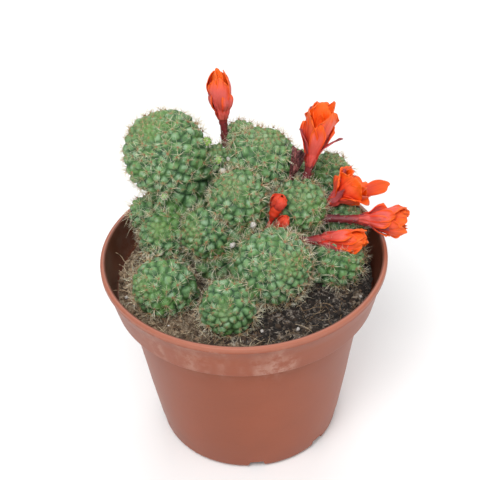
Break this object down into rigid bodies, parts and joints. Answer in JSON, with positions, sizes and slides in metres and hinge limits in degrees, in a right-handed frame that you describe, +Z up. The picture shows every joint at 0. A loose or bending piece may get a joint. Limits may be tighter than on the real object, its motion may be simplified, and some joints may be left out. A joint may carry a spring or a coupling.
{
  "type": "potted round cactus",
  "caption": "Free-standing clump of small round spiny cactus stems with half-open orange flowers, growing in soil in a tapered round plastic nursery pot with a wide collar.",
  "frame": {"origin": "centre of the pot's underside, on the surface it stands on", "axes": "+Z up through the pot; -Y towards the viewer who sees the low stems in front; +X to that viewer's right, where the long flower reaches past the rim"},
  "size_m": [0.1141, 0.105, 0.1354],
  "materials": {
    "pot_plastic": "satin",
    "soil": "matte",
    "stem_green": "matte",
    "offset_green": "satin",
    "tube_red": "satin",
    "petal_outer": "satin",
    "petal_inner": "satin",
    "bud_red": "satin",
    "withered_maroon": "matte"
  },
  "bodies": {
    "root": {"stem_front_large": "stem_green", "stem_tall_left": "stem_green", "stem_front_left": "stem_green", "stem_front_small": "stem_green", "stem_right_front": "stem_green", "stem_centre_right": "stem_green", "stem_centre": "stem_green", "stem_back": "stem_green", "stem_left_low": "stem_green", "stem_centre_left": "stem_green", "stem_right_low": "stem_green", "stem_back_right": "stem_green", "stem_left_back_low": "stem_green", "stem_back_small": "stem_green", "stem_back_hidden": "stem_green", "stem_between": "stem_green", "offset_centre": "offset_green", "offset_tall_left": "offset_green", "offset_low_left": "offset_green", "pot": "pot_plastic", "soil": "soil", "flower_back_tube": "tube_red", "flower_back_petal_outer_1": "petal_outer", "flower_back_petal_outer_2": "petal_outer", "flower_back_petal_outer_3": "petal_outer", "flower_back_petal_inner_1": "petal_inner", "flower_back_petal_inner_2": "petal_inner", "flower_back_petal_inner_3": "petal_inner", "flower_tall_tube": "tube_red", "flower_tall_petal_outer_1": "petal_outer", "flower_tall_petal_outer_2": "petal_outer", "flower_tall_petal_outer_3": "petal_outer", "flower_tall_petal_inner_1": "petal_inner", "flower_tall_petal_inner_2": "petal_inner", "flower_tall_petal_inner_3": "petal_inner", "flower_open_tube": "tube_red", "flower_open_petal_outer_1": "petal_outer", "flower_open_petal_outer_2": "petal_outer", "flower_open_petal_outer_3": "petal_outer", "flower_open_petal_inner_1": "petal_inner", "flower_open_petal_inner_2": "petal_inner", "flower_open_petal_inner_3": "petal_inner", "flower_long_tube": "tube_red", "flower_long_petal_outer_1": "petal_outer", "flower_long_petal_outer_2": "petal_outer", "flower_long_petal_outer_3": "petal_outer", "flower_long_petal_inner_1": "petal_inner", "flower_long_petal_inner_2": "petal_inner", "flower_long_petal_inner_3": "petal_inner", "flower_low_tube": "tube_red", "flower_low_petal_outer_1": "petal_outer", "flower_low_petal_outer_2": "petal_outer", "flower_low_petal_outer_3": "petal_outer", "flower_low_petal_inner_1": "petal_inner", "flower_low_petal_inner_2": "petal_inner", "flower_low_petal_inner_3": "petal_inner", "bud_large": "bud_red", "bud_small": "bud_red", "flower_withered": "withered_maroon"}
  },
  "joints": []
}
